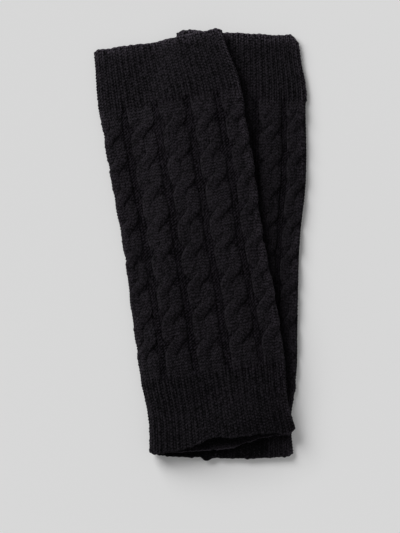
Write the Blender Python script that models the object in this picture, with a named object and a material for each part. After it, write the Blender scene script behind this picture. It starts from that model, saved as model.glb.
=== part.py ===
"""A pair of cable knit leg warmers, laid flat and fanned, one over the other.

Each leg warmer is one knitted tube with no foot: a ribbed upper cuff, a cabled leg and a ribbed
lower cuff. It lies flat as two panels of cloth that meet in a rounded fold down each side, and it
is open at both ends. The under one lies on the surface. The over one leans across it, with its
lower end on top of it and its upper left side on the surface.

Frame: metres, +Z up from the surface that the pair lies on, +Y towards the upper hems, +X to the
right as seen from above, and the origin on the surface under the middle of the pair.
"""

from collections import namedtuple
from math import cos, pi, radians, sin

import bpy
import numpy as np

# The cloth, and how a tube of it lies flat
WALL = 0.0028
PANEL_GAP = 0.0018  # between the front and back panels
THICKNESS = 2 * WALL + PANEL_GAP
FOLD_REACH = 0.0070  # from a side's edge to where its rounding ends
SEAM_GAP = 0.0003  # between the cuffs and the leg, which are separate solids here
LIE_GAP = 0.0003  # between the two leg warmers

# The slope of the over one down past the under one's left edge
SLOPE_OUTSIDE = 0.0180
SLOPE_INSIDE = 0.0020

# The over one's lower mouth stands open: its front panel climbs over MOUTH_RAMP to its full lift,
# MOUTH_LIP short of the hem's nominal line
MOUTH_LIFT = 0.0045
MOUTH_RAMP = 0.0450
MOUTH_LIP = 0.0120
MOUTH_ROUNDNESS = 1.5  # the greater it is, the narrower the part that stands high

# The over one's front panel stands up at its right fold, by FOLD_PUFF from the place PUFF_FULL on.
# Places across a tube go from -1 at its left edge to 1 at its right one.
FOLD_PUFF = 0.0052
PUFF_START = -0.10  # the place where it starts to stand up
PUFF_FULL = 0.75
PUFF_RUN = 0.0300  # from each hem, over which it grows to its full height
PUFF_AT_UPPER_HEM = 0.5  # how much of it is there at the upper hem

# The over one's lower hem hangs clear of the under one, most at the place RAISE_MIDDLE
HEM_RAISE = 0.0020
FRONT_RAISE = 0.0020  # how much further the front panel is raised there
RAISE_RAMP = 0.0400  # from the lower hem, over which it comes down
RAISE_MIDDLE = -0.12
RAISE_REACH = 0.88  # how far to each side of the middle it is raised

CORNER = 0.0018  # how far the hems draw back at the folds
CORNER_START = 0.92  # the place, to both sides, from which they do

# Spacing of the facets
STATION_SPACING = 0.0170
FOLD_STEPS = 6
OVER_PANEL_STEPS = 20
UNDER_PANEL_STEPS = 8
SHARP_ANGLE = radians(40)  # the least turn between facets that shows as a sharp edge

# The distance from the upper hem, and how far the left and right edges lie from the centre line
Edges = namedtuple("Edges", "along left right")

# The place across, and how far each hem dips there past its nominal line, towards the lower end
Hems = namedtuple("Hems", "across upper lower_front lower_back")

LegWarmer = namedtuple(
    "LegWarmer",
    "name upper_middle lean leg_start leg_end length edges hems panel_steps",
)

OVER = LegWarmer(
    name="over",
    upper_middle=(-0.0414, 0.1971),
    lean=radians(9.2),
    leg_start=0.0600,
    leg_end=0.3265,
    length=0.3958,
    edges=[
        Edges(0.0000, 0.0629, 0.0625),
        Edges(0.0220, 0.0644, 0.0655),
        Edges(0.0480, 0.0667, 0.0712),
        Edges(0.0900, 0.0674, 0.0723),
        Edges(0.1500, 0.0666, 0.0723),
        Edges(0.1980, 0.0657, 0.0704),
        Edges(0.2620, 0.0681, 0.0726),
        Edges(0.3250, 0.0688, 0.0718),
        Edges(0.3620, 0.0672, 0.0686),
        Edges(0.3958, 0.0722, 0.0718),
    ],
    hems=[
        Hems(-1.00, 0.0010, -0.0014, -0.0014),
        Hems(-0.70, 0.0016, -0.0012, 0.0010),
        Hems(-0.40, 0.0018, -0.0036, 0.0022),
        Hems(-0.12, 0.0027, -0.0084, 0.0042),
        Hems(0.15, 0.0027, -0.0062, 0.0048),
        Hems(0.32, 0.0024, -0.0052, 0.0026),
        Hems(0.50, 0.0019, -0.0050, 0.0008),
        Hems(0.70, 0.0014, -0.0029, 0.0008),
        Hems(0.85, 0.0010, 0.0010, 0.0010),
        Hems(1.00, 0.0004, -0.0015, -0.0008),
    ],
    panel_steps=OVER_PANEL_STEPS,
)

UNDER = LegWarmer(
    name="under",
    upper_middle=(0.0364, 0.2026),
    lean=radians(-2.2),
    leg_start=0.0610,
    leg_end=0.3390,
    length=0.4090,
    edges=[
        Edges(0.0000, 0.0597, 0.0580),
        Edges(0.0300, 0.0625, 0.0633),
        Edges(0.0450, 0.0655, 0.0668),
        Edges(0.0850, 0.0690, 0.0703),
        Edges(0.1470, 0.0700, 0.0722),
        Edges(0.1900, 0.0670, 0.0692),
        Edges(0.2800, 0.0678, 0.0697),
        Edges(0.3250, 0.0684, 0.0705),
        Edges(0.3700, 0.0655, 0.0660),
        Edges(0.4090, 0.0680, 0.0694),
    ],
    hems=[
        Hems(-1.0, 0.0000, 0.0004, 0.0006),
        Hems(-0.8, -0.0016, 0.0018, 0.0024),
        Hems(-0.4, 0.0000, 0.0022, 0.0030),
        Hems(0.0, -0.0004, 0.0018, 0.0028),
        Hems(0.5, 0.0002, 0.0008, 0.0014),
        Hems(0.75, 0.0000, -0.0006, -0.0002),
        Hems(0.88, -0.0006, -0.0017, -0.0014),
        Hems(1.0, 0.0048, -0.0026, -0.0024),
    ],
    panel_steps=UNDER_PANEL_STEPS,
)

Finish = namedtuple("Finish", "colour roughness")
RIB_WOOL = Finish(colour=(0.0090, 0.0085, 0.0092, 1.0), roughness=0.95)
CABLE_WOOL = Finish(colour=(0.0100, 0.0094, 0.0102, 1.0), roughness=0.93)


def clear_scene():
    for item in list(bpy.data.objects):
        bpy.data.objects.remove(item, do_unlink=True)


def wool(name, finish):
    material = bpy.data.materials.new(name)
    material.use_nodes = True
    shader = material.node_tree.nodes["Principled BSDF"]
    shader.inputs["Base Color"].default_value = finish.colour
    shader.inputs["Roughness"].default_value = finish.roughness
    shader.inputs["Metallic"].default_value = 0.0
    return material


def ease(share):
    """0 to 1 as share goes from 0 to 1, starting and ending level."""
    share = np.clip(share, 0.0, 1.0)
    return share * share * (3.0 - 2.0 * share)


def read_table(rows, column, at):
    """A table's column at any place, on a smooth curve through its rows."""
    places = np.array([row[0] for row in rows])
    values = np.array([getattr(row, column) for row in rows])
    slopes = np.gradient(values, places)
    row = np.clip(np.searchsorted(places, at) - 1, 0, len(rows) - 2)
    span = places[row + 1] - places[row]
    t = np.clip((at - places[row]) / span, 0.0, 1.0)
    from_start = values[row] * (1 + 2 * t) + slopes[row] * span * t
    from_end = values[row + 1] * (3 - 2 * t) - slopes[row + 1] * span * (1 - t)
    return from_start * (1 - t) ** 2 + from_end * t**2


def on_surface(tube, along, across):
    """World X and Y of a place given along and across a leg warmer."""
    x, y = tube.upper_middle
    x = x + across * cos(tube.lean) + along * sin(tube.lean)
    y = y + across * sin(tube.lean) - along * cos(tube.lean)
    return x, y


def rise_over_under_one(x, y):
    """How high the over one's underside lies at these places."""
    x = x - UNDER.upper_middle[0]
    y = y - UNDER.upper_middle[1]
    across = x * cos(UNDER.lean) + y * sin(UNDER.lean)
    along = x * sin(UNDER.lean) - y * cos(UNDER.lean)
    inside = across + read_table(UNDER.edges, "left", along)
    share = (inside + SLOPE_OUTSIDE) / (SLOPE_OUTSIDE + SLOPE_INSIDE)
    return (THICKNESS + LIE_GAP) * ease(share)


def ring(tube, inset):
    """One turn round a flattened tube, inset from its outer face.

    Gives three numbers for each point: its share of the way from the left fold's start to the
    right fold's, how far it bulges past there, and its level, from -1 on the back panel's face
    to 1 on the front panel's.
    """
    reach = FOLD_REACH - inset
    panel = [(share, 0.0, 1.0) for share in np.linspace(0, 1, tube.panel_steps + 1)]
    turns = [pi * step / FOLD_STEPS for step in range(1, FOLD_STEPS)]
    right = [(1.0, reach * sin(turn), cos(turn)) for turn in turns]
    back = [(share, 0.0, -1.0) for share, _, _ in reversed(panel)]
    left = [(0.0, -reach * sin(turn), -cos(turn)) for turn in turns]
    return np.array(panel + right + back + left)


def ring_points(tube, along_at, inset):
    """The points of one ring. along_at(across, level) gives each point's distance from the hem."""
    share, bulge, level = ring(tube, inset).T
    nominal = along_at(np.zeros_like(level), level)
    left = -read_table(tube.edges, "left", nominal)
    right = read_table(tube.edges, "right", nominal)
    across = left + FOLD_REACH + (right - left - 2 * FOLD_REACH) * share + bulge
    place = (2 * across - left - right) / (right - left)
    along = along_at(place, level)
    x, y = on_surface(tube, along, across)
    z = THICKNESS / 2 + level * (THICKNESS / 2 - inset)
    if tube is OVER:
        z = z + rise_over_under_one(x, y) + loose_rise(along, nominal, place, level)
    return np.stack([x, y, z], axis=1)


def mouth_lift(along, place):
    """How far the over one's front panel stands up off its back one near the lower hem."""
    near_hem = ease((along - OVER.length + MOUTH_LIP + MOUTH_RAMP) / MOUTH_RAMP)
    middle = np.clip(1 - place**2, 0, 1) ** MOUTH_ROUNDNESS
    return MOUTH_LIFT * near_hem * middle


def fold_puff(nominal, place):
    """How far the over one's front panel stands up at its right fold."""
    grown = PUFF_AT_UPPER_HEM + (1 - PUFF_AT_UPPER_HEM) * ease(nominal / PUFF_RUN)
    grown = grown * ease((OVER.length - nominal) / PUFF_RUN)
    return FOLD_PUFF * grown * ease((place - PUFF_START) / (PUFF_FULL - PUFF_START))


def raised(nominal, place):
    """How much, from 0 to 1, the over one is raised near its lower hem."""
    near_hem = ease((nominal - OVER.length + RAISE_RAMP) / RAISE_RAMP)
    middle = np.clip(1 - ((place - RAISE_MIDDLE) / RAISE_REACH) ** 2, 0, 1) ** 2
    return near_hem * middle


def loose_rise(along, nominal, place, level):
    """How far the over one stands above where it would lie if it were pressed flat."""
    front = (level + 1) / 2
    front_rise = mouth_lift(along, place) + fold_puff(nominal, place)
    return front_rise * front + (HEM_RAISE + FRONT_RAISE * front) * raised(nominal, place)


def hem_dip(tube, place, level, upper):
    """How far a hem lies past its nominal line. The lower one differs on the two panels."""
    place = np.clip(place, -1, 1)
    corner = CORNER * ease((np.abs(place) - CORNER_START) / (1 - CORNER_START))
    if upper:
        return read_table(tube.hems, "upper", place) + corner
    front = read_table(tube.hems, "lower_front", place)
    back = read_table(tube.hems, "lower_back", place)
    return back + (front - back) * (level + 1) / 2 - corner


def straight_station(along):
    return lambda place, level: np.full_like(level, along)


def hem_station(tube, share, upper):
    """A station of a cuff, share of the way from the leg to the hem, whose line it nears."""
    seam = tube.leg_start - SEAM_GAP / 2 if upper else tube.leg_end + SEAM_GAP / 2
    hem = 0.0 if upper else tube.length

    def along(place, level):
        return seam + (hem - seam + hem_dip(tube, place, level, upper)) * share

    return along


def stations_of(tube, zone):
    """The stations of the upper cuff, the leg or the lower cuff, from its upper end down."""
    if zone == "leg":
        start = tube.leg_start + SEAM_GAP / 2
        end = tube.leg_end - SEAM_GAP / 2
        count = round((end - start) / STATION_SPACING)
        return [straight_station(along) for along in np.linspace(start, end, count + 1)]
    upper = zone == "upper_cuff"
    depth = tube.leg_start if upper else tube.length - tube.leg_end
    count = round(depth / STATION_SPACING)
    shares = np.linspace(1, 0, count + 1) if upper else np.linspace(0, 1, count + 1)
    return [hem_station(tube, share, upper) for share in shares]


def tube_mesh(tube, zone):
    """A closed wall of cloth: an outer skin, an inner skin and a rim at each open end."""
    stations = stations_of(tube, zone)
    outer = [ring_points(tube, station, 0.0) for station in stations]
    inner = [ring_points(tube, station, WALL) for station in stations]
    turn = len(outer[0])
    inner_start = len(stations) * turn
    faces = []

    def strip(low, high):
        """Quads between two rings of points, given by their first points' numbers."""
        for step in range(turn):
            after = (step + 1) % turn
            faces.append((low + after, high + after, high + step, low + step))

    for station in range(len(stations) - 1):
        here = station * turn
        strip(here + turn, here)
        strip(inner_start + here, inner_start + here + turn)
    last = inner_start - turn
    strip(0, inner_start)
    strip(inner_start + last, last)
    mesh = bpy.data.meshes.new(f"{tube.name}_{zone}")
    mesh.from_pydata(np.concatenate(outer + inner).tolist(), [], faces)
    mesh.shade_smooth()
    mesh.set_sharp_from_angle(angle=SHARP_ANGLE)
    return mesh


def add_leg_warmer(tube, materials):
    """The three knitted stretches of one leg warmer, under one empty. Each has its own material."""
    holder = bpy.data.objects.new(f"{tube.name}_leg_warmer", None)
    bpy.context.collection.objects.link(holder)
    for zone in ("upper_cuff", "leg", "lower_cuff"):
        mesh = tube_mesh(tube, zone)
        mesh.materials.append(materials["leg" if zone == "leg" else "cuff"].copy())
        piece = bpy.data.objects.new(mesh.name, mesh)
        piece.parent = holder
        bpy.context.collection.objects.link(piece)


def main():
    clear_scene()
    materials = {"cuff": wool("rib_wool", RIB_WOOL), "leg": wool("cable_wool", CABLE_WOOL)}
    for tube in (UNDER, OVER):
        add_leg_warmer(tube, materials)


main()
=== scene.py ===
"""The looks of a pair of cable knit leg warmers that lie flat, one leaning across the other.

Every stretch of cloth is a thin closed shell that follows its CAD solid. Its rows of stitches, its
ribs and its cables are modelled: the cables are ropes of four stitch columns that lie on the purl
ground and cross over each other. Finer yarn detail comes from the materials.

Frame: metres, +Z up from the surface that the pair lies on, +Y towards the upper hems, +X to the
right as seen from above. A place on a tube is given by its stitch, counted round the tube from the
left fold over the front panel, and by its distance down from the upper hem.
"""

from collections import namedtuple
from math import atan, cos, pi, radians, sin

import bpy
import numpy as np
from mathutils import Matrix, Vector

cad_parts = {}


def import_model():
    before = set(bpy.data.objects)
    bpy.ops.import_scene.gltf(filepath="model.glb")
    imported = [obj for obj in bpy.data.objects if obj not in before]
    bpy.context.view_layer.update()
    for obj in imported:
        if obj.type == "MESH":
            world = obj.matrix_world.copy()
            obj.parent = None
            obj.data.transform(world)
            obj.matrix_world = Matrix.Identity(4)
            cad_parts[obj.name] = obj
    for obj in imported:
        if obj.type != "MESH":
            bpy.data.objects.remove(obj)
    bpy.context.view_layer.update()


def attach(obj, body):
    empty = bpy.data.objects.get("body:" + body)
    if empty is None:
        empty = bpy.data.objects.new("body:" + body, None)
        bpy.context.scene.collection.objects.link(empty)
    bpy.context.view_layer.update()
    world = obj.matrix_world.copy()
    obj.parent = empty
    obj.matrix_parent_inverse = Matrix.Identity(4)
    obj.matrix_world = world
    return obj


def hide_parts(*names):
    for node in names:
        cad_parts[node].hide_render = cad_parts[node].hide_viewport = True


# The cloth, and how a tube of it lies flat. These are the CAD solids' own sizes.
WALL = 0.0028
PANEL_GAP = 0.0018
THICKNESS = 2 * WALL + PANEL_GAP
HALF_THICKNESS = THICKNESS / 2
FOLD_REACH = 0.0070
LIE_GAP = 0.0003
MOUTH_LIFT = 0.0045
MOUTH_RAMP = 0.0450
MOUTH_LIP = 0.0120
MOUTH_ROUNDNESS = 1.5  # the greater it is, the narrower the part that stands high
CORNER = 0.0018  # how far the hems draw back at the folds

# The slope of the over one down past the under one's left edge
SLOPE_OUTSIDE = 0.0220
SLOPE_INSIDE = 0.0080

# Stitches
STITCHES = 100  # round a tube
PANEL = STITCHES // 2
REPEAT = 10  # a cable and a purl valley
CABLES = STITCHES // REPEAT
PANEL_CABLES = CABLES // 2
STRAND = 4  # stitch columns in each of a cable's two strands
ROW = 0.0029
STITCH = 0.00278
ROW_STEPS = 4  # mesh stations in a row of stitches
TIGHT = 0.00015  # from a shell's end to the station before it, which keeps its edge crisp

# Heights off the CAD surface
GROUND = -0.0017  # of the purl ground between the cables
DITCH = 0.0006  # how much deeper it is beside each cable's right edge
UNDER_CABLE = 0.0012  # how much higher it is under a cable
CROWN = 0.0023  # of a strand over the ground
OVER_LIFT = 0.0012  # of a strand where it crosses over the other
UNDER_DIP = 0.0011  # of a strand where it passes under the other
UNDER_DIP_LATE = 0.0014  # how far past the crossing it lies deepest
V_RELIEF = 0.00090  # of a knit stitch's two legs
PURL_RELIEF = 0.00050
RIB_LEVEL = -0.0004  # of the ribs' middle height
RIB_RIDGE = 0.00026  # of knit ridges over purl ones
RIB_LINE = 0.00037  # of every ridge over the lines between them
RIB_AT_HEM = 0.55  # how much of the ribs' height is left after they fade towards a hem
RIBS_STRETCHED = 0.45  # how much of it the lower cuff's stretched part loses
RIBS_STRETCH_FROM = 12  # the stitch at which that part starts
UPPER_RIB_FADE = 0.035
LOWER_RIB_FADE = 0.110
STITCH_CHANCE = 0.60  # how much stitches differ in height
ROW_DRIFT = 0.40  # how many rows a column of stitches gets out of step with the next one
HEM_BEAD = 0.0004  # of the bound-off edge at a hem over the cloth beside it

# Covered and underside cloth is pressed flat
BACK_RELIEF = 0.35
BACK_SINK = -0.00085
COVERED_RELIEF = 0.35
COVERED_SINK = -0.00085
COVERED_START = 0.0080  # how far outside the over one's right edge cloth starts to be pressed
COVERED_REACH = 0.0100  # from there to where it is pressed flat

Edges = namedtuple("Edges", "along left right")
Hems = namedtuple("Hems", "across upper lower_front lower_back")
Shift = namedtuple("Shift", "stitch right")
Crossings = namedtuple("Crossings", "first pitch")
LegWarmer = namedtuple(
    "LegWarmer",
    "name upper_middle lean leg_start leg_end length edges hems lift shifts crossings seed",
)

OVER = LegWarmer(
    name="over",
    upper_middle=(-0.0414, 0.1971),
    lean=radians(9.2),
    leg_start=0.0600,
    leg_end=0.3265,
    length=0.3958,
    edges=[
        Edges(0.0000, 0.0629, 0.0625),
        Edges(0.0220, 0.0644, 0.0655),
        Edges(0.0480, 0.0667, 0.0712),
        Edges(0.0900, 0.0674, 0.0723),
        Edges(0.1500, 0.0666, 0.0723),
        Edges(0.1980, 0.0657, 0.0704),
        Edges(0.2620, 0.0681, 0.0726),
        Edges(0.3250, 0.0688, 0.0718),
        Edges(0.3620, 0.0672, 0.0686),
        Edges(0.3958, 0.0722, 0.0718),
    ],
    hems=[
        Hems(-1.00, 0.0010, -0.0014, -0.0014),
        Hems(-0.70, 0.0016, -0.0012, 0.0010),
        Hems(-0.40, 0.0018, -0.0036, 0.0022),
        Hems(-0.12, 0.0027, -0.0084, 0.0042),
        Hems(0.15, 0.0027, -0.0062, 0.0048),
        Hems(0.32, 0.0024, -0.0052, 0.0026),
        Hems(0.50, 0.0019, -0.0050, 0.0008),
        Hems(0.70, 0.0014, -0.0029, 0.0008),
        Hems(0.85, 0.0010, 0.0010, 0.0010),
        Hems(1.00, 0.0004, -0.0015, -0.0008),
    ],
    lift=MOUTH_LIFT,
    shifts=[
        Shift(0, -0.0036),
        Shift(10, -0.0033),
        Shift(20, -0.0014),
        Shift(30, 0.0017),
        Shift(40, 0.0033),
        Shift(50, 0.0032),
        Shift(75, 0.0),
        Shift(STITCHES, -0.0036),
    ],
    crossings=[Crossings(0.0855, 0.0299)] * CABLES,
    seed=11,
)

UNDER = LegWarmer(
    name="under",
    upper_middle=(0.0364, 0.2026),
    lean=radians(-2.2),
    leg_start=0.0610,
    leg_end=0.3390,
    length=0.4090,
    edges=[
        Edges(0.0000, 0.0597, 0.0580),
        Edges(0.0300, 0.0625, 0.0633),
        Edges(0.0450, 0.0655, 0.0668),
        Edges(0.0850, 0.0690, 0.0703),
        Edges(0.1470, 0.0700, 0.0722),
        Edges(0.1900, 0.0670, 0.0692),
        Edges(0.2800, 0.0678, 0.0697),
        Edges(0.3250, 0.0684, 0.0705),
        Edges(0.3700, 0.0655, 0.0660),
        Edges(0.4090, 0.0680, 0.0694),
    ],
    hems=[
        Hems(-1.0, 0.0000, 0.0004, 0.0006),
        Hems(-0.8, -0.0016, 0.0018, 0.0024),
        Hems(-0.4, 0.0000, 0.0022, 0.0030),
        Hems(-0.29, 0.0000, 0.0024, 0.0032),
        Hems(-0.22, -0.0001, 0.0050, 0.0056),
        Hems(-0.15, -0.0002, 0.0022, 0.0030),
        Hems(0.0, -0.0004, 0.0018, 0.0028),
        Hems(0.5, 0.0002, 0.0008, 0.0014),
        Hems(0.75, 0.0000, -0.0006, -0.0002),
        Hems(0.88, -0.0006, -0.0017, -0.0014),
        Hems(1.0, 0.0048, -0.0026, -0.0024),
    ],
    lift=0.0,
    shifts=[
        Shift(0, 0.0),
        Shift(25, 0.0040),
        Shift(35, 0.0068),
        Shift(45, 0.0021),
        Shift(50, 0.0),
        Shift(STITCHES, 0.0),
    ],
    crossings=[Crossings(0.0945, 0.0290)] * 4
    + [Crossings(0.0845, 0.0318)]
    + [Crossings(0.0930, 0.0292)] * 5,
    seed=23,
)

CROSSING_SHARE = 0.60  # of a crossing's pitch, the rest of which runs straight
CROSSING_CHANCE = 0.12  # how much crossings differ in height
CROSSING_NARROWS = 0.16  # how much narrower a strand is there
CABLE_RUN_OUT = 0.0200  # the least from the last crossing's centre to the lower ribs


# ---- Smooth curves and smooth chance ----


def ease(share):
    """0 to 1 as share goes from 0 to 1, starting and ending level."""
    share = np.clip(share, 0.0, 1.0)
    return share * share * (3.0 - 2.0 * share)


def read_table(rows, column, at):
    """A table's column at any place, on a smooth curve through its rows."""
    places = np.array([row[0] for row in rows], float)
    values = np.array([getattr(row, column) for row in rows])
    slopes = np.gradient(values, places)
    row = np.clip(np.searchsorted(places, at) - 1, 0, len(rows) - 2)
    span = places[row + 1] - places[row]
    t = np.clip((at - places[row]) / span, 0.0, 1.0)
    from_start = values[row] * (1 + 2 * t) + slopes[row] * span * t
    from_end = values[row + 1] * (3 - 2 * t) - slopes[row + 1] * span * (1 - t)
    return from_start * (1 - t) ** 2 + from_end * t**2


def chance(seed, *cells):
    """An even random number from -1 to 1 for each cell, the same every time."""
    number = np.full(np.broadcast(*cells).shape, seed * 7919 + 17, np.int64)
    for cell in cells:
        number = (number * 31 + np.asarray(cell).astype(np.int64)) * 2654435761
        number = (number ^ (number >> 15)) & 0x7FFFFFFF
        number = (number * 40503 + 12345) & 0x7FFFFFFF
        number = number ^ (number >> 11)
    return (number & 0xFFFF) / 32767.5 - 1.0


def wander(seed, along, across):
    """Smooth chance from -1 to 1 over a plane, with a new value at each whole number."""
    row, column = np.floor(along), np.floor(across)
    u, v = ease(along - row), ease(across - column)
    low = chance(seed, row, column) * (1 - v) + chance(seed, row, column + 1) * v
    high = chance(seed, row + 1, column) * (1 - v) + chance(seed, row + 1, column + 1) * v
    return low * (1 - u) + high * u


# ---- The lie of a tube ----


def fold_curve():
    """The angle round a fold, a quarter ellipse, for each distance from its outermost point."""
    angle = np.linspace(0, pi / 2, 200)
    x, y = FOLD_REACH * np.cos(angle), HALF_THICKNESS * np.sin(angle)
    steps = np.hypot(np.diff(x), np.diff(y))
    return np.concatenate([[0], np.cumsum(steps)]), angle


FOLD_DISTANCES, FOLD_ANGLES = fold_curve()
FOLD_GIRTH = FOLD_DISTANCES[-1]


def round_tube(tube, stitch, nominal):
    """Where a stitch lies round the tube.

    Gives its distance across, its level from -1 on the back panel to 1 on the front one, how far
    a step outwards goes across and up, the tube's edges, and the distance round the tube from the
    nearer fold's outermost point.
    """
    turn = np.mod(stitch, STITCHES)
    left = -read_table(tube.edges, "left", nominal)
    right = read_table(tube.edges, "right", nominal)
    girth = right - left - 2 * FOLD_REACH + 2 * FOLD_GIRTH
    places, shifts = zip(*tube.shifts)
    way = turn / PANEL * girth + np.interp(turn, places, shifts)
    way = np.mod(way, 2 * girth)
    back = way > girth
    way = np.where(back, 2 * girth - way, way)
    to_right = girth - way
    near = np.minimum(way, to_right)
    angle = np.interp(near, FOLD_DISTANCES, FOLD_ANGLES)
    side = np.where(way <= to_right, -1.0, 1.0)
    inwards = FOLD_REACH * (1 - np.cos(angle)) + np.maximum(near - FOLD_GIRTH, 0)
    across = np.where(side < 0, left + inwards, right - inwards)
    face = np.where(back, -1.0, 1.0)
    level = face * np.sin(angle)
    return across, level, side * np.cos(angle), level, left, right, near


def on_surface(tube, along, across):
    """World X and Y of a place given along and across a leg warmer."""
    x, y = tube.upper_middle
    x = x + across * cos(tube.lean) + along * sin(tube.lean)
    y = y + across * sin(tube.lean) - along * cos(tube.lean)
    return x, y


def on_leg_warmer(tube, x, y):
    """The distances along and across a leg warmer of a world X and Y."""
    x = x - tube.upper_middle[0]
    y = y - tube.upper_middle[1]
    across = x * cos(tube.lean) + y * sin(tube.lean)
    along = x * sin(tube.lean) - y * cos(tube.lean)
    return along, across


def rise_over_under_one(x, y):
    """How high the over one's underside lies at these places."""
    along, across = on_leg_warmer(UNDER, x, y)
    inside = across + read_table(UNDER.edges, "left", along)
    share = (inside + SLOPE_OUTSIDE) / (SLOPE_OUTSIDE + SLOPE_INSIDE)
    return (THICKNESS + LIE_GAP) * ease(share)


def covered(x, y):
    """1 where the over one lies on the under one and 0 where the under one shows."""
    along, across = on_leg_warmer(OVER, x, y)
    inside = read_table(OVER.edges, "right", along) - across
    past_hem = along - OVER.length + 0.010
    return ease((inside + COVERED_START) / COVERED_REACH) * ease(-past_hem / 0.008)


def mouth_lift(tube, along, place, level):
    """How far the front panel stands up off the back one near the lower hem."""
    near_hem = ease((along - tube.length + MOUTH_LIP + MOUTH_RAMP) / MOUTH_RAMP)
    middle = np.clip(1 - place**2, 0, 1) ** MOUTH_ROUNDNESS
    return tube.lift * near_hem * middle * np.clip((level + 1) / 2, 0, 1)


def hem_dip(tube, place, level, upper):
    """How far a hem lies past its nominal line. The lower one differs on the two panels."""
    place = np.clip(place, -1, 1)
    corner = CORNER * ease((np.abs(place) - 0.92) / 0.08)
    if upper:
        return read_table(tube.hems, "upper", place) + corner
    front = read_table(tube.hems, "lower_front", place)
    back = read_table(tube.hems, "lower_back", place)
    return back + (front - back) * (level + 1) / 2 - corner


FOLD_PUFF = 0.0052  # how far the over one's right fold stands up
PUFF_START = -0.10
PUFF_FULL = 0.75
HEM_RAISE = 0.0020  # how far the over one's lower hem hangs clear of the under one
FRONT_RAISE = 0.0020  # and how much further its front panel stands up
SWELL = 0.0006  # how high the panels' soft unevenness stands
# Yarn along the folds and the upper hem is painted lighter: partly worn fuzz, partly painted
# highlight where the fibres catch the light. The right fold, in shade, gets more.
LEFT_FOLD_WEAR_AND_HIGHLIGHT = 0.80
RIGHT_FOLD_WEAR_AND_HIGHLIGHT = 2.20
FOLD_WEAR_AND_HIGHLIGHT_REACH = 0.0065
HEM_WEAR_AND_HIGHLIGHT = 2.60
HEM_WEAR_AND_HIGHLIGHT_REACH = 0.0150
HEM_CLOSE = 0.0013  # how far the front panels come down at the upper hems
HEM_CLOSE_REACH = 0.0120


def puff(tube, along, place, level):
    """How far the over one's loose right fold and its lower hem stand up."""
    if tube is UNDER:
        return np.zeros_like(along)
    front = np.clip((level + 1) / 2, 0, 1)
    inside = (0.5 + 0.5 * ease(along / 0.03)) * ease((tube.length - along) / 0.03)
    fold = FOLD_PUFF * ease((place - PUFF_START) / (PUFF_FULL - PUFF_START)) * inside * front
    near_hem = ease((along - tube.length + 0.040) / 0.040)
    middle = np.clip(1 - ((place + 0.12) / 0.88) ** 2, 0, 1) ** 2
    return fold + (HEM_RAISE + FRONT_RAISE * front) * near_hem * middle


def swell(tube, along, across, level):
    """The soft unevenness of cloth that lies loosely."""
    broad = wander(tube.seed, along / 0.052, across / 0.034)
    narrow = wander(tube.seed + 1, along / 0.023, across / 0.019)
    return SWELL * (broad + 0.5 * narrow) * np.clip((level + 1) / 2, 0, 1) ** 2


def lay(tube, stitch, along, out, loose=None):
    """World points of places on a tube, out from the CAD surface."""
    stitch, along, out = np.broadcast_arrays(stitch, along, out)
    nominal = np.clip(along, 0, tube.length)
    across, level, step_across, step_up, left, right, _ = round_tube(tube, stitch, nominal)
    place = (2 * across - left - right) / (right - left)
    front = np.clip((level + 1) / 2, 0, 1)
    relief = BACK_RELIEF + (1 - BACK_RELIEF) * front
    sink = BACK_SINK * (1 - front)
    x, y = on_surface(tube, along, across)
    if tube is UNDER:
        pressed = covered(x, y) * np.clip(level, 0, 1)
        relief = relief * (1 - (1 - COVERED_RELIEF) * pressed)
        sink = sink + COVERED_SINK * pressed
    inner = out < -WALL * 0.8
    out = np.where(inner, out, np.maximum(out * relief + sink, -WALL * 0.85))
    across = across + out * step_across
    x, y = on_surface(tube, along, across)
    z = HALF_THICKNESS * (1 + level) + out * step_up
    if tube is OVER:
        z = z + rise_over_under_one(x, y)
    z = z + mouth_lift(tube, along, place, level) + swell(tube, along, across, level)
    z = z + puff(tube, nominal, place, level)
    z = z - HEM_CLOSE * (1 - ease(along / HEM_CLOSE_REACH)) * np.clip(level, 0, 1)
    return np.stack([x, y, z], axis=-1)


def worn(tube, stitch, along, out):
    """How much lighter the yarn is along the folds and the upper hem: partly worn, fuzzy yarn and
    partly painted highlight where its fibres catch the light.
    """
    stitch, along, out = np.broadcast_arrays(stitch, along, out)
    across, level, _, _, left, right, near = round_tube(tube, stitch, np.clip(along, 0, tube.length))
    fold = np.where(across < (left + right) / 2, LEFT_FOLD_WEAR_AND_HIGHLIGHT, RIGHT_FOLD_WEAR_AND_HIGHLIGHT)
    fold = fold * np.exp(-((near / FOLD_WEAR_AND_HIGHLIGHT_REACH) ** 2))
    hem = HEM_WEAR_AND_HIGHLIGHT * (1 - ease(along / HEM_WEAR_AND_HIGHLIGHT_REACH)) ** 1.5 * np.clip(level, 0, 1)
    hem = hem * np.clip(1 + 2 * out / WALL, 0, 1)
    return np.where(out < -WALL * 0.8, 0.0, fold + hem)


# ---- Stitches ----


def drift(tube, stitch, along):
    """How many stitches sideways the columns wander."""
    return 0.30 * wander(tube.seed + 2, along / 0.033, stitch / REPEAT)


def knit_row(tube, stitch, along):
    """Which row a place lies in. Neighbouring columns of stitches are out of step."""
    return along / ROW + ROW_DRIFT * wander(tube.seed + 12, along / 0.014, stitch)


def v_stitch(column, row):
    """The height, from 0 to 1, of a knit stitch. column is 0 at its middle and 0.5 at its sides."""
    within = row - np.floor(row)
    side = np.abs(column)
    leg = 1 - ((side - 0.22) / 0.40) ** 2
    return leg * (0.15 + 0.85 * np.sin(pi * within**1.3))


def purl_stitch(column, row):
    """The height, from -1 to 1, of purl bumps, which lie askew."""
    return np.cos(2 * pi * (row + 0.9 * column) + 0.3 * pi * np.cos(2 * pi * column))


# ---- Meshes ----

Skin = namedtuple("Skin", "points knit worn wrap_rows wrap_columns")


WHOLE_CHART = (0.01, 0.01, 0.99, 0.99)


def wrapped(columns):
    """A tube's columns, and the first one again, one turn on."""
    return np.append(columns, columns[0] + STITCHES)


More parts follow.
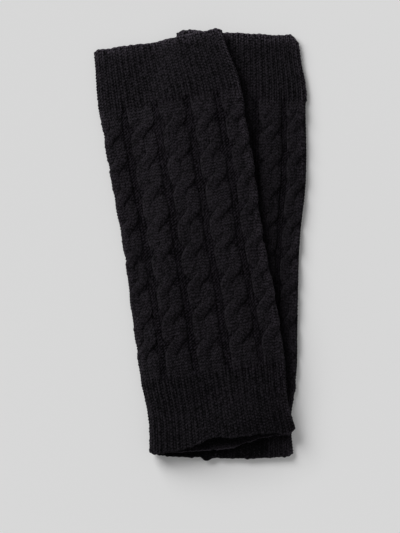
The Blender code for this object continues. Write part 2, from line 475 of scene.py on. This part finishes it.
def shell(tube, parts, flip=False):
    """A closed shell from rows of places: each part's stitches, distances along and heights."""
    stitch, along, out = (np.concatenate(rows) for rows in zip(*parts))
    points = lay(tube, stitch, along, out)[:, :-1]
    lighter = worn(tube, stitch, along, out)[:, :-1]
    knit = np.stack([stitch, knit_row(tube, stitch, along)], axis=-1)
    if flip:
        points, knit, lighter = points[::-1], knit[::-1], lighter[::-1]
    return Skin(points, np.concatenate([knit, knit[:1]]), lighter, True, True)


def grid_mesh(name, skins, charts):
    """One mesh of grids of points. Each has a knit map and its own chart of the bake map.

    A skin's points are rows x columns x 3, and its knit map is rows x columns x 2, with one row or
    column more where it wraps. A chart is its share of the bake map: left, bottom, right and top.
    """
    vertices, quads, knit_uv, bake_uv = [], [], [], []
    start = 0
    for skin, chart in zip(skins, charts):
        rows, columns = skin.points.shape[:2]
        vertices.append(skin.points.reshape(-1, 3))
        row_count = rows if skin.wrap_rows else rows - 1
        column_count = columns if skin.wrap_columns else columns - 1
        row, column = np.meshgrid(np.arange(row_count), np.arange(column_count), indexing="ij")
        corners = [(row, column), (row + 1, column), (row + 1, column + 1), (row, column + 1)]
        face = [start + (r % rows) * columns + (c % columns) for r, c in corners]
        quads.append(np.stack(face, axis=-1).reshape(-1, 4))
        knit_uv.append(
            np.stack([skin.knit[r, c] for r, c in corners], axis=-2).reshape(-1, 2)
        )
        left, bottom, right, top = chart
        across = spacing(skin.points, 1, column_count)
        down = spacing(skin.points, 0, row_count)
        u = left + (right - left) * across
        v = top + (bottom - top) * down
        bake_uv.append(
            np.stack([np.stack([u[c], v[r]], axis=-1) for r, c in corners], axis=-2).reshape(-1, 2)
        )
        start += rows * columns
    mesh = mesh_of(
        name,
        np.concatenate(vertices),
        np.concatenate(quads),
        {"Knit": np.concatenate(knit_uv), "OFBake": np.concatenate(bake_uv)},
    )
    # each point's wear and painted highlight, which lighten the yarn's tone
    mark(mesh, "Worn", np.concatenate([skin.worn.ravel() for skin in skins]))
    return mesh


def spacing(points, axis, count):
    """The shares, from 0 to 1, at which a grid's rows or columns lie, by their mean distance."""
    steps = np.linalg.norm(np.roll(points, -1, axis=axis) - points, axis=-1)
    mean = steps.mean(axis=1 - axis)[:count]
    mean = np.maximum(mean, mean.mean() * 0.25)
    way = np.concatenate([[0], np.cumsum(mean)])
    return way / way[-1]


def mesh_of(name, vertices, quads, maps):
    mesh = bpy.data.meshes.new(name)
    mesh.vertices.add(len(vertices))
    mesh.vertices.foreach_set("co", np.ascontiguousarray(vertices, np.float32).ravel())
    mesh.loops.add(quads.size)
    mesh.loops.foreach_set("vertex_index", quads.astype(np.int32).ravel())
    mesh.polygons.add(len(quads))
    mesh.polygons.foreach_set("loop_start", np.arange(0, quads.size, 4, dtype=np.int32))
    mesh.update(calc_edges=True)
    for map_name, places in maps.items():
        layer = mesh.uv_layers.new(name=map_name)
        layer.uv.foreach_set("vector", np.ascontiguousarray(places, np.float32).ravel())
    mesh.polygons.foreach_set("use_smooth", np.ones(len(quads), bool))
    mesh.validate()
    return mesh


def mark(mesh, name, values):
    """Give each of a mesh's points a number that its material reads."""
    layer = mesh.attributes.new(name=name, type="FLOAT", domain="POINT")
    layer.data.foreach_set("value", np.ascontiguousarray(values, np.float32).ravel())


def add_piece(mesh, material):
    piece = bpy.data.objects.new(mesh.name, mesh)
    bpy.context.collection.objects.link(piece)
    mesh.materials.append(material)
    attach(piece, "root")
    return piece


# ---- The cabled leg's purl ground ----

VALLEY_COLUMNS = [-1.5, -1.25, -1.0, -0.75, -0.5, -0.25, 0, 0.25, 0.5, 0.75, 1.0, 1.25, 1.5]
BACK_VALLEY_COLUMNS = [-1.2, -0.6, 0.0, 0.6, 1.2]
UNDER_CABLE_COLUMNS = [3.0, 5.0, 7.0]
END_GAP = 0.0001  # between a leg's end and its cuff


def ground_columns():
    """The stitches at which the ground's mesh has columns: most in the front panel's valleys."""
    columns = []
    for cable in range(CABLES):
        front = cable <= PANEL_CABLES
        valley = VALLEY_COLUMNS if front else BACK_VALLEY_COLUMNS
        columns += [cable * REPEAT + place for place in valley + UNDER_CABLE_COLUMNS]
    return np.array(columns, float)


def stations(start, end, step):
    """Evenly spaced places from start to end, and one more next to each of those two."""
    even = np.linspace(start, end, round(abs(end - start) / step) + 1)
    tight = np.copysign(TIGHT, end - start)
    return np.concatenate([even[:1], even[:1] + tight, even[1:-1], even[-1:] - tight, even[-1:]])


def out_of_ribs(tube, along, reach):
    """0 at the cuffs and 1 from reach away from them."""
    return ease(np.minimum(along - tube.leg_start, tube.leg_end - along) / reach)


def ground_out(tube, stitch, along):
    """The height of the purl ground, which starts from the ribs' height at both ends of the leg."""
    row = knit_row(tube, stitch, along)
    cell = chance(tube.seed + 3, np.floor(stitch * 2), np.floor(row))
    place = np.mod(stitch + REPEAT / 2, REPEAT) - REPEAT / 2
    out = GROUND - DITCH * np.exp(-(((place + 0.8) / 0.45) ** 2))
    out = out + UNDER_CABLE * ease(np.abs(place) - 1.0)
    out = out + PURL_RELIEF * purl_stitch(stitch, row) * (1 + STITCH_CHANCE * cell)
    grown = out_of_ribs(tube, along, 0.007)
    return rib_out(tube, stitch, along) * (1 - grown) + out * grown


def leg_ground(tube, material):
    """The leg's cloth under and between its cables: a closed shell, with an inner face."""
    columns = wrapped(ground_columns())
    start, end = tube.leg_start + END_GAP, tube.leg_end - END_GAP
    stitch, along = np.meshgrid(columns, stations(start, end, ROW / ROW_STEPS))
    stitch = stitch + drift(tube, stitch, along)
    outer = (stitch, along, ground_out(tube, stitch, along))
    stitch, along = np.meshgrid(columns, stations(end, start, 0.012))
    inner = (stitch, along, np.full_like(along, -WALL))
    skin = shell(tube, [outer, inner])
    mesh = grid_mesh(f"{tube.name}_leg_ground", [skin], [WHOLE_CHART])
    return add_piece(mesh, material)


# ---- Cables ----

FINE_STRAND = [
    -0.93, -0.815, -0.70, -0.58, -0.465, -0.35, -0.235, -0.12, 0.0,
    0.12, 0.235, 0.35, 0.465, 0.58, 0.70, 0.815, 0.93,
]  # fmt: skip
COARSE_STRAND = [-0.90, -0.45, 0.0, 0.45, 0.90]
STRAND_HALF_WIDTH = 0.0062
STRAND_OFFSET = 0.0052  # of each strand's middle from the cable's


def crossing_centres(tube, cable):
    first, pitch = tube.crossings[cable]
    count = int((tube.leg_end - CABLE_RUN_OUT - first) / pitch) + 1
    centres = first + pitch * np.arange(count)
    return centres + 0.0011 * chance(tube.seed + 4, np.arange(count), cable), pitch


def strand_path(tube, cable, start_side, along):
    """A strand's distance right of its cable's middle, its lift, and how round it is.

    It is lifted where it crosses over the other strand and dips where it passes under it, mostly
    on its way out. It is round, from 0 to 1, where it crosses.
    """
    centres, pitch = crossing_centres(tube, cable)
    half = pitch * CROSSING_SHARE / 2
    turns = np.zeros_like(along)
    lift = np.zeros_like(along)
    roundness = np.zeros_like(along)
    side = start_side
    for number, centre in enumerate(centres):
        share = np.clip((along - centre + half) / (2 * half), 0, 1)
        turns = turns + share
        strength = 1 + CROSSING_CHANCE * chance(tube.seed + 13, number, cable)
        if side > 0:
            rise = np.exp(-(((along - centre) / (half * 0.95)) ** 2) * 1.5)
            lift = lift + OVER_LIFT * strength * rise
        else:
            fall = np.exp(-(((along - centre - UNDER_DIP_LATE) / (half * 0.90)) ** 2) * 1.5)
            lift = lift - UNDER_DIP * strength * fall
        roundness = roundness + np.exp(-(((along - centre) / half) ** 2) * 1.2)
        side = -side
    return start_side * STRAND_OFFSET * np.cos(pi * turns), lift, np.clip(roundness, 0, 1)


def strand_skin(tube, cable, start_side, shares, row_step):
    """One strand of a cable: a rope with four columns of knit stitches along its upper face."""
    along = stations(tube.leg_start + END_GAP, tube.leg_end - END_GAP, row_step)
    middle, lift, roundness = strand_path(tube, cable, start_side, along)
    slope = np.gradient(middle, along)
    length = np.hypot(1, slope)
    across_step, along_step = 1 / length, -slope / length
    path = np.concatenate([[0], np.cumsum(np.hypot(np.diff(along), np.diff(middle)))])
    rows = path / ROW
    w = np.array([-0.80, -1.0, -0.985] + list(shares) + [0.985, 1.0, 0.80])
    bottom = np.zeros(len(w), bool)
    bottom[[0, -1]] = True
    column = (w + 0.93) / 1.86 * STRAND + 2 * STRAND * cable + STRAND * (start_side > 0)
    row_grid, column_grid = np.meshgrid(rows, column, indexing="ij")
    out_of_step = knit_row(tube, column_grid, along[:, None]) - along[:, None] / ROW
    row_grid = row_grid + out_of_step
    in_stitch = column_grid - np.floor(column_grid) - 0.5
    on_top = np.abs(w) < 0.95
    w_grid = np.broadcast_to(w, row_grid.shape)
    inner = (1 - roundness[:, None]) * (w_grid * np.sign(middle)[:, None] < 0)
    crown = np.clip(1 - np.abs(w_grid) ** (2.2 + 5.0 * inner), 0, 1) ** (0.80 - 0.25 * inner)
    cell = chance(tube.seed + 40, np.floor(row_grid), np.floor(column_grid))
    relief = V_RELIEF * v_stitch(in_stitch, row_grid) * on_top * (1 + STITCH_CHANCE * cell)
    uneven = 0.07 * wander(tube.seed + 7 + cable, along / 0.011, start_side)
    uneven = uneven + 0.05 * wander(tube.seed + 18 + cable, along / 0.0035, start_side)
    wide = STRAND_HALF_WIDTH * (1 + uneven - CROSSING_NARROWS * roundness)
    x = middle[:, None] + w_grid * (wide * across_step)[:, None]
    y = along[:, None] + w_grid * (wide * along_step)[:, None]
    stitch = cable * REPEAT + REPEAT / 2 + x / STITCH
    stitch = stitch + drift(tube, stitch, y)
    grown = out_of_ribs(tube, y, 0.012)
    full = 1 + 0.08 * wander(tube.seed + 60 + cable, along / 0.014, start_side)
    out = GROUND - 0.0003 + CROWN * full[:, None] * crown + lift[:, None] + relief
    ribbed = rib_out(tube, stitch, y) - 0.0006 * (1 - crown)
    past_middle = np.clip(-x * np.sign(middle)[:, None] / 0.002, 0, 1)
    out = ribbed * (1 - grown) + out * grown - 0.0004 * past_middle * (1 - grown)
    out = np.where(bottom, GROUND - 0.0008, np.maximum(out, GROUND - 0.0007))
    points = lay(tube, stitch, y, out)
    knit = np.stack([column_grid, row_grid], axis=-1)
    knit = np.concatenate([knit, knit[:, -1:] + (1, 0)], axis=1)
    return Skin(points, knit, worn(tube, stitch, y, out), False, True)


def add_cables(tube, side, cables, fine, material):
    """Some of a leg's cables, each two strands, as one piece."""
    shares = FINE_STRAND if fine else COARSE_STRAND
    row_step = ROW / ROW_STEPS if fine else ROW
    skins = [
        strand_skin(tube, cable, start_side, shares, row_step)
        for cable in cables
        for start_side in (1, -1)
    ]
    width = 1 / len(skins)
    charts = [((i + 0.03) * width, 0.01, (i + 0.97) * width, 0.99) for i in range(len(skins))]
    mesh = grid_mesh(f"{tube.name}_cables_{side}", skins, charts)
    return add_piece(mesh, material)


# ---- Ribbed cuffs ----

RIB = 2  # stitches: one knit column and one purl column
HEM_REACH = 0.0014  # how far a hem's rounding reaches
BEAD_WIDTH = 0.0016
# Painted light and shade on the lower cuffs: painted shade on the over one's, as less light reaches
# the bottom; on the under one's, painted shadow below the over one's hem and painted light on its
# free part
LOWER_CUFF_PAINTED_SHADE = -0.20
SHADOWED_CUFF_PAINTED_SHADOW = -1.00
FREE_CUFF_PAINTED_LIGHT = 0.30
SHADOWED_TO = 41  # the stitch up to which the under one's lower cuff gets the over one's painted shadow
# Painted highlight on the hems' rims, stronger on the back panel
FRONT_RIM_PAINTED_HIGHLIGHT = 0.7
BACK_RIM_PAINTED_HIGHLIGHT = 1.8
BACK_RIM_HIGHLIGHT_BOOST = 1.6  # painted highlight that makes the lower hems' rims on the back panel a light line
UPPER_HEM_UNEVEN = 0.0005  # how much a hem's edge wanders
LOWER_HEM_UNEVEN = 0.0008
HEM_SCALLOP = 0.0002  # how far each rib stands out of it
INSIDE_FROM = 0.0045  # from the hem, past which the inner face lies in its own shade
RIB_COLUMNS = [-0.75, -0.50, -0.25, 0.0, 0.25, 0.50, 0.75, 1.0]
BACK_RIB_COLUMNS = [-0.50, 0.0, 0.50, 1.0]


def cuff_columns():
    columns = []
    for rib in range(STITCHES // RIB):
        places = RIB_COLUMNS if rib * RIB < PANEL else BACK_RIB_COLUMNS
        columns += [rib * RIB + 1.5 + place for place in places]
    return np.array(columns, float)


def rib_out(tube, stitch, along):
    """The height of the ribs: a knit ridge and a lower purl one, deepest next to the cables."""
    place = np.mod(stitch - 1.5 + 1, RIB) - 1
    rib = np.floor((stitch - 0.5) / RIB)
    row = knit_row(tube, stitch, along)
    towards_hem = np.maximum(
        (tube.leg_start - along) / UPPER_RIB_FADE, (along - tube.leg_end) / LOWER_RIB_FADE
    )
    drawn = RIB_AT_HEM + (1 - RIB_AT_HEM) * (1 - ease(towards_hem))
    drawn = drawn * (1 + 0.45 * wander(tube.seed + 5, along / 0.024, rib * 0.45))
    stretched = ease((stitch - RIBS_STRETCH_FROM) / 16) * (along > tube.leg_end)
    drawn = drawn * (1 - RIBS_STRETCHED * stretched * ease((along - tube.leg_end) / 0.012))
    ridge = RIB_RIDGE * np.cos(pi * place) + RIB_LINE * np.cos(2 * pi * place)
    is_knit = np.abs(place) < 0.5
    column = np.where(is_knit, place, np.abs(place) - 1)
    knit = V_RELIEF * v_stitch(column, row)
    purl = PURL_RELIEF * (0.5 + 0.5 * np.cos(2 * pi * row)) * np.cos(pi * column)
    cell = chance(tube.seed + 6, np.floor(stitch), np.floor(row))
    return ridge * drawn + np.where(is_knit, knit, purl) * (1 + STITCH_CHANCE * cell) + RIB_LEVEL


def cuff_along(tube, upper, share, stitch):
    """How far down the tube a cuff's place lies. share is 0 at the leg and 1 at the hem."""
    seam = tube.leg_start if upper else tube.leg_end
    hem = 0.0 if upper else tube.length
    nominal = seam + (hem - seam) * share
    across, level, _, _, left, right, _ = round_tube(tube, stitch, nominal)
    place = (2 * across - left - right) / (right - left)
    return seam + (hem - seam + hem_dip(tube, place, level, upper)) * share


def lower_cuff_painted_light_and_shade(tube, stitch):
    """How much lighter a lower cuff is painted than an upper one: painted shade on the over one's,
    and on the under one's painted shadow below the over one's hem, with painted light past it.
    """
    if tube is OVER:
        return np.full_like(stitch, LOWER_CUFF_PAINTED_SHADE)
    shown = ease((stitch - SHADOWED_TO + 5) / 5) * (stitch < PANEL)
    return SHADOWED_CUFF_PAINTED_SHADOW + (FREE_CUFF_PAINTED_LIGHT - SHADOWED_CUFF_PAINTED_SHADOW) * shown


def add_cuff(tube, upper, material):
    """A ribbed cuff: a closed shell, ribbed inside and out, with a rounded, uneven hem."""
    columns = wrapped(cuff_columns())
    depth = tube.leg_start if upper else tube.length - tube.leg_end
    rim = HEM_REACH / depth
    outer_shares = np.linspace(0, 1 - rim, round(depth / ROW * ROW_STEPS))
    outer_shares = np.insert(outer_shares, 1, TIGHT / depth)
    inner_shares = np.linspace(1 - rim, 0, 32)
    inner_shares = np.insert(inner_shares, -1, TIGHT / depth)
    stitch, share = np.meshgrid(columns, outer_shares)
    stitch = stitch + 0.22 * wander(tube.seed + 8, share * depth / 0.013, stitch / 5.0)
    along = cuff_along(tube, upper, share, stitch)
    bead = ease((share - 1 + rim) * depth / BEAD_WIDTH + 1)
    out = rib_out(tube, stitch, along) + HEM_BEAD * bead
    parts = [(stitch, along, out)]
    ridge = np.cos(pi * (columns - 1.5))
    uneven = wander(tube.seed + 9, columns * 0.7, 1)
    hem_along = cuff_along(tube, upper, np.full(len(columns), 1 - rim), columns)
    away = -1.0 if upper else 1.0
    edge = HEM_REACH + (UPPER_HEM_UNEVEN if upper else LOWER_HEM_UNEVEN) * uneven
    for turn in (25, 58, 90, 122, 155):
        reach = (edge + HEM_SCALLOP * ridge) * sin(radians(turn))
        swing = cos(radians(turn))
        out = -WALL / 2 + (WALL / 2 + 0.0003 * ridge + 0.0003 * uneven + HEM_BEAD) * swing
        parts.append((columns[None], (hem_along + away * reach)[None], out[None]))
    stitch, share = np.meshgrid(columns, inner_shares)
    along = cuff_along(tube, upper, share, stitch)
    parts.append((stitch, along, -WALL - 0.0001 + 0.0003 * np.cos(pi * (stitch - 1.5))))
    skin = shell(tube, parts, flip=upper)
    name = f"{tube.name}_{'upper' if upper else 'lower'}_ribs"
    # Painted light and shade in the yarn's tone: painted highlight along the hem's bead, its rim and
    # the inner face next to it, and painted shade on the inner face past INSIDE_FROM
    inside = 1.6 * ease((share - 1 + rim) * depth / INSIDE_FROM + 1) - 0.6
    rim = np.where(columns < PANEL, FRONT_RIM_PAINTED_HIGHLIGHT, BACK_RIM_PAINTED_HIGHLIGHT)
    lighter = np.concatenate([0.4 * bead, np.tile(rim, (5, 1)), inside])[:, :-1]
    if not upper:
        # the lower cuffs' painted light and shade
        lighter = lighter + lower_cuff_painted_light_and_shade(tube, columns[:-1])
        # painted highlight on the back panel's lower rim
        rim_highlight_boost = np.where(columns < PANEL, 0.0, BACK_RIM_HIGHLIGHT_BOOST)
        rim_rows = [np.zeros_like(bead), np.tile(rim_highlight_boost, (5, 1)), np.zeros_like(inside)]
        skin = skin._replace(worn=skin.worn + np.concatenate(rim_rows)[:, :-1])
    mesh = grid_mesh(name, [skin], [WHOLE_CHART])
    mark(mesh, "PaintedLightAndShade", lighter[::-1] if upper else lighter)
    return add_piece(mesh, material)


# ---- Materials ----


class Graph:
    """A material's or world's nodes, made by short calls. Inputs are sockets or plain numbers."""

    def __init__(self, tree):
        self.tree = tree
        self.shader = tree.nodes.get("Principled BSDF")

    def node(self, kind, **settings):
        made = self.tree.nodes.new(kind)
        for key, value in settings.items():
            setattr(made, key, value)
        return made

    def put(self, socket, value):
        if isinstance(value, bpy.types.NodeSocket):
            self.tree.links.new(value, socket)
        else:
            socket.default_value = value

    def math(self, operation, *values):
        made = self.node("ShaderNodeMath", operation=operation)
        for socket, value in zip(made.inputs, values):
            self.put(socket, value)
        return made.outputs[0]

    def vector(self, operation, *values):
        made = self.node("ShaderNodeVectorMath", operation=operation)
        for socket, value in zip(made.inputs, values):
            self.put(socket, value)
        return made

    def noise(self, scale, detail=2.0, roughness=0.5):
        where = self.node("ShaderNodeTexCoord").outputs["Object"]
        made = self.node("ShaderNodeTexNoise")
        self.put(made.inputs["Vector"], where)
        self.put(made.inputs["Scale"], scale)
        self.put(made.inputs["Detail"], detail)
        self.put(made.inputs["Roughness"], roughness)
        return made.outputs["Fac"]

    def seen(self):
        """1 for the rays that show a surface and 0 for those that light others."""
        ray = self.node("ShaderNodeLightPath")
        seen = self.math("MAXIMUM", ray.outputs["Is Camera Ray"], ray.outputs["Is Glossy Ray"])
        return self.math("MAXIMUM", seen, ray.outputs["Is Transmission Ray"])

    def mix(self, factor, dark, light):
        made = self.node("ShaderNodeMix", data_type="RGBA", clamp_factor=False)
        self.put(made.inputs["Factor"], factor)
        self.put(made.inputs["A"], dark)
        self.put(made.inputs["B"], light)
        return made.outputs["Result"]


LEG_SLANT = 1.1  # rows that a knit stitch's legs climb over one stitch's width
PURL_SLANT = 0.9  # and that the ground's purl bumps do


def wool(name, knit, purl_slant, light, shine):
    """Dark wool yarn: stitches, mottling from stitch to stitch, and a fuzz of fine fibres, with
    painted shade between the stitches and the painted light and shade that the meshes mark.

    knit is 1 where all columns are knit stitches, 0 where all are purl, and None for ribs.
    """
    material = bpy.data.materials.new(name)
    material.use_nodes = True
    graph = Graph(material.node_tree)
    knit_map = graph.node("ShaderNodeUVMap", uv_map="Knit")
    parts = graph.node("ShaderNodeSeparateXYZ")
    graph.put(parts.inputs[0], knit_map.outputs[0])
    column, row = parts.outputs[0], parts.outputs[1]
    whole_column = graph.math("FLOOR", column)
    if knit is None:
        knit = graph.math("FLOORED_MODULO", whole_column, 2.0)
    within_column = graph.math("SUBTRACT", graph.math("FRACT", column), 0.5)
    side = graph.math("ABSOLUTE", within_column)
    leg_row = graph.math("MULTIPLY_ADD", side, LEG_SLANT, row)
    from_leg = graph.math("DIVIDE", graph.math("SUBTRACT", side, 0.22), 0.40)
    leg = graph.math("SUBTRACT", 1.0, graph.math("MULTIPLY", from_leg, from_leg))
    leg = graph.math("MAXIMUM", leg, 0.0)
    within_leg = graph.math("FRACT", leg_row)
    swell_along = graph.math("SINE", graph.math("MULTIPLY", within_leg, pi))
    leg = graph.math("MULTIPLY", leg, graph.math("MULTIPLY_ADD", swell_along, 0.85, 0.15))
    askew = graph.math("MULTIPLY_ADD", column, purl_slant, row)
    purl = graph.math("COSINE", graph.math("MULTIPLY", askew, 2 * pi))
    purl_across = graph.math("COSINE", graph.math("MULTIPLY", within_column, 2 * pi))
    purl = graph.math("MULTIPLY", purl, graph.math("MULTIPLY_ADD", purl_across, 0.15, 0.2))
    purl = graph.math("ADD", purl, graph.math("MULTIPLY_ADD", purl_across, 0.2, 0.45))
    more = graph.math("MULTIPLY", graph.math("SUBTRACT", leg, purl), knit)
    stitches = graph.math("ADD", purl, more)
    fibres = graph.noise(1500, detail=3.0, roughness=0.65)
    tufts = graph.noise(520, detail=1.5, roughness=0.6)
    height = graph.math("MULTIPLY_ADD", fibres, 0.60, stitches)
    height = graph.math("MULTIPLY_ADD", tufts, 0.50, height)
    bump = graph.node("ShaderNodeBump")
    graph.put(bump.inputs["Height"], height)
    graph.put(bump.inputs["Distance"], 0.0009)
    graph.put(bump.inputs["Strength"], 1.0)
    graph.put(graph.shader.inputs["Normal"], bump.outputs["Normal"])
    cell = graph.node("ShaderNodeCombineXYZ")
    graph.put(cell.inputs[0], graph.math("FLOOR", graph.math("MULTIPLY", column, 2.0)))
    graph.put(cell.inputs[1], graph.math("FLOOR", leg_row))
    speckle = graph.node("ShaderNodeTexWhiteNoise", noise_dimensions="2D")
    graph.put(speckle.inputs["Vector"], cell.outputs[0])
    lighter = graph.node("ShaderNodeAttribute", attribute_name="PaintedLightAndShade")
    tone = graph.math("MULTIPLY_ADD", speckle.outputs["Value"], 0.65, -1.40)
    tone = graph.math("MULTIPLY_ADD", graph.noise(38, detail=2.0), 0.30, tone)
    tone = graph.math("MULTIPLY_ADD", tufts, 2.0, tone)
    # painted shade: the gaps between a stitch's legs and between purl bumps are darker
    tone = graph.math("MULTIPLY_ADD", stitches, 0.75, tone)
    # the painted highlights and shade marked on the cuffs
    tone = graph.math("MULTIPLY_ADD", lighter.outputs["Fac"], 0.5, tone)
    tone = graph.math("MINIMUM", graph.math("MAXIMUM", tone, 0.0), 1.0)
    # worn fuzz and painted highlight along the folds, the upper hem and the back rims lighten the
    # tone
    worn_and_painted_light_node = graph.node("ShaderNodeAttribute", attribute_name="Worn")
    tone = graph.math("MULTIPLY", tone, graph.math("ADD", worn_and_painted_light_node.outputs["Fac"], 1.0))
    colour = graph.mix(tone, DARK_YARN, light)
    graph.put(graph.shader.inputs["Base Color"], colour)
    graph.put(graph.shader.inputs["Roughness"], graph.math("MULTIPLY_ADD", tufts, 0.14, 0.80))
    graph.put(graph.shader.inputs["Specular IOR Level"], shine)
    graph.put(graph.shader.inputs["Sheen Weight"], shine * 0.4)
    graph.put(graph.shader.inputs["Sheen Roughness"], 0.45)
    graph.put(graph.shader.inputs["Sheen Tint"], (0.80, 0.78, 0.84, 1.0))
    return material


DARK_YARN = (0.0008, 0.0007, 0.0010, 1.0)
LIGHT_YARN = (0.0155, 0.0133, 0.0168, 1.0)
RIB_YARN = (0.0143, 0.0123, 0.0155, 1.0)
# Painted shade: the purl ground's yarn is a darker copy of the cable yarn, for the shade in the
# valleys between the cables
SHADED_GROUND_YARN = (0.0139, 0.0119, 0.0151, 1.0)


# ---- The floor, the lamps and the camera ----

KEY_PLACE = (-0.748, 0.803, 0.808)
KEY_TARGET = (0.0, 0.0, 0.0)
KEY_POWER = 24.1
KEY_SIZE = 0.89
WORLD_LIGHT = 0.20
FLOOR_TONE = 0.72
FLOOR_SHOWN = 0.89  # how much of the floor's shown tone comes from its light and shadow
KEY_ON_FLOOR = 0.74  # of the floor's light at the middle
KEY_FALL_OFF = 2.55  # the power of the distance by which it falls off
FLOOR_LEAST = 0.80  # of the light at the middle, below which the floor glows to look even
SHADOW_REACH = 0.45  # from the middle, up to which the floor shows its light and shadow
SHADOW_GONE = 0.80  # and from where on it only glows


def add_floor():
    half = 6.0
    mesh = bpy.data.meshes.new("floor")
    corners = [(-half, -half, 0), (half, -half, 0), (half, half, 0), (-half, half, 0)]
    mesh.from_pydata(corners, [], [(0, 1, 2, 3)])
    floor = bpy.data.objects.new("floor", mesh)
    bpy.context.collection.objects.link(floor)
    material = bpy.data.materials.new("floor")
    material.use_nodes = True
    graph = Graph(material.node_tree)
    tree = graph.tree
    graph.put(graph.shader.inputs["Roughness"], 0.9)
    graph.put(graph.shader.inputs["Specular IOR Level"], 0.0)
    glow = graph.node("ShaderNodeEmission")
    graph.put(glow.inputs["Color"], (FLOOR_TONE, FLOOR_TONE, FLOOR_TONE, 1))
    place = graph.node("ShaderNodeTexCoord").outputs["Object"]
    beam = graph.vector("SUBTRACT", place, KEY_PLACE).outputs["Vector"]
    length = graph.vector("LENGTH", beam).outputs["Value"]
    aim = Vector(KEY_TARGET) - Vector(KEY_PLACE)
    along_aim = graph.vector("DOT_PRODUCT", beam, aim.normalized()).outputs["Value"]
    facing = graph.math("MAXIMUM", graph.math("DIVIDE", along_aim, length), 0.0)
    nearness = graph.math("DIVIDE", Vector(KEY_PLACE).length, length)
    lit = graph.math("MULTIPLY", graph.math("POWER", nearness, KEY_FALL_OFF), facing)
    lit = graph.math("MULTIPLY_ADD", lit, KEY_ON_FLOOR, WORLD_LIGHT)
    tone = graph.math("DIVIDE", FLOOR_TONE, graph.math("MAXIMUM", lit, FLOOR_LEAST))
    colour = graph.node("ShaderNodeCombineColor")
    for socket in colour.inputs[:3]:
        graph.put(socket, tone)
    graph.put(graph.shader.inputs["Base Color"], colour.outputs[0])
    far = graph.node("ShaderNodeMapRange", interpolation_type="SMOOTHSTEP")
    graph.put(far.inputs["Value"], graph.vector("LENGTH", place).outputs["Value"])
    graph.put(far.inputs["From Min"], SHADOW_REACH)
    graph.put(far.inputs["From Max"], SHADOW_GONE)
    graph.put(far.inputs["To Min"], FLOOR_SHOWN)
    graph.put(far.inputs["To Max"], 0.0)
    shown = far.outputs["Result"]
    glowing = graph.math("SUBTRACT", 1.0, shown)
    enough = graph.math("MINIMUM", graph.math("DIVIDE", lit, FLOOR_LEAST), 1.0)
    missing = graph.math("MULTIPLY", graph.math("SUBTRACT", 1.0, enough), shown)
    evened = graph.math("ADD", graph.math("DIVIDE", missing, glowing), 1.0)
    graph.put(glow.inputs["Strength"], evened)
    both = graph.node("ShaderNodeMixShader")
    graph.put(both.inputs[0], graph.math("MULTIPLY", graph.seen(), glowing))
    tree.links.new(graph.shader.outputs[0], both.inputs[1])
    tree.links.new(glow.outputs[0], both.inputs[2])
    output = tree.nodes["Material Output"]
    tree.links.new(both.outputs[0], output.inputs["Surface"])
    mesh.materials.append(material)


def add_world():
    world = bpy.data.worlds.new("studio")
    bpy.context.scene.world = world
    world.use_nodes = True
    graph = Graph(world.node_tree)
    background = world.node_tree.nodes["Background"]
    strength = graph.math("MULTIPLY_ADD", graph.seen(), FLOOR_TONE - WORLD_LIGHT, WORLD_LIGHT)
    graph.put(background.inputs["Strength"], strength)
    background.inputs["Color"].default_value = (1, 1, 1, 1)


def add_lamp(name, place, target, size, power):
    lamp = bpy.data.lights.new(name, "AREA")
    lamp.shape = "SQUARE"
    lamp.size = size
    lamp.energy = power
    holder = bpy.data.objects.new(name, lamp)
    holder.location = place
    holder.rotation_mode = "QUATERNION"
    aim = Vector(target) - Vector(place)
    holder.rotation_quaternion = aim.to_track_quat("-Z", "Y")
    bpy.context.collection.objects.link(holder)


LENS = 0.085
SENSOR = 0.036
VIEW_HEIGHT = 0.517  # of the floor that the picture spans
VIEW_MIDDLE = (-0.0004, -0.0229)


def add_camera():
    data = bpy.data.cameras.new("camera")
    data.lens = LENS * 1000
    data.sensor_width = SENSOR * 1000
    camera = bpy.data.objects.new("camera", data)
    half_angle = atan(SENSOR / 2 / LENS)
    distance = VIEW_HEIGHT / 2 / (sin(half_angle) / cos(half_angle))
    camera.location = (*VIEW_MIDDLE, distance)
    bpy.context.collection.objects.link(camera)
    bpy.context.scene.camera = camera


def main():
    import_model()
    bpy.context.scene.view_settings.view_transform = "Standard"
    add_camera()
    add_floor()
    add_world()
    add_lamp("key", KEY_PLACE, KEY_TARGET, KEY_SIZE, KEY_POWER)

    cable_wool = wool("cable_yarn", 1.0, 0.0, LIGHT_YARN, 0.06)
    # the purl ground's darker yarn is painted shade
    shaded_ground_wool = wool("shaded_ground_yarn", 0.0, PURL_SLANT, SHADED_GROUND_YARN, 0.03)
    rib_wool = wool("rib_yarn", None, 0.0, RIB_YARN, 0.05)
    front, back = range(PANEL_CABLES), range(PANEL_CABLES, CABLES)
    for tube in (UNDER, OVER):
        shown = front if tube is OVER else range(3, PANEL_CABLES)
        hidden = [cable for cable in range(CABLES) if cable not in shown]
        ground = leg_ground(tube, shaded_ground_wool)
        upper = add_cuff(tube, True, rib_wool)
        lower = add_cuff(tube, False, rib_wool)
        cables = [
            add_cables(tube, "shown", shown, True, cable_wool),
            add_cables(tube, "hidden", hidden, False, cable_wool),
        ]
        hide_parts(f"{tube.name}_leg")
        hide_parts(f"{tube.name}_upper_cuff")
        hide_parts(f"{tube.name}_lower_cuff")


main()
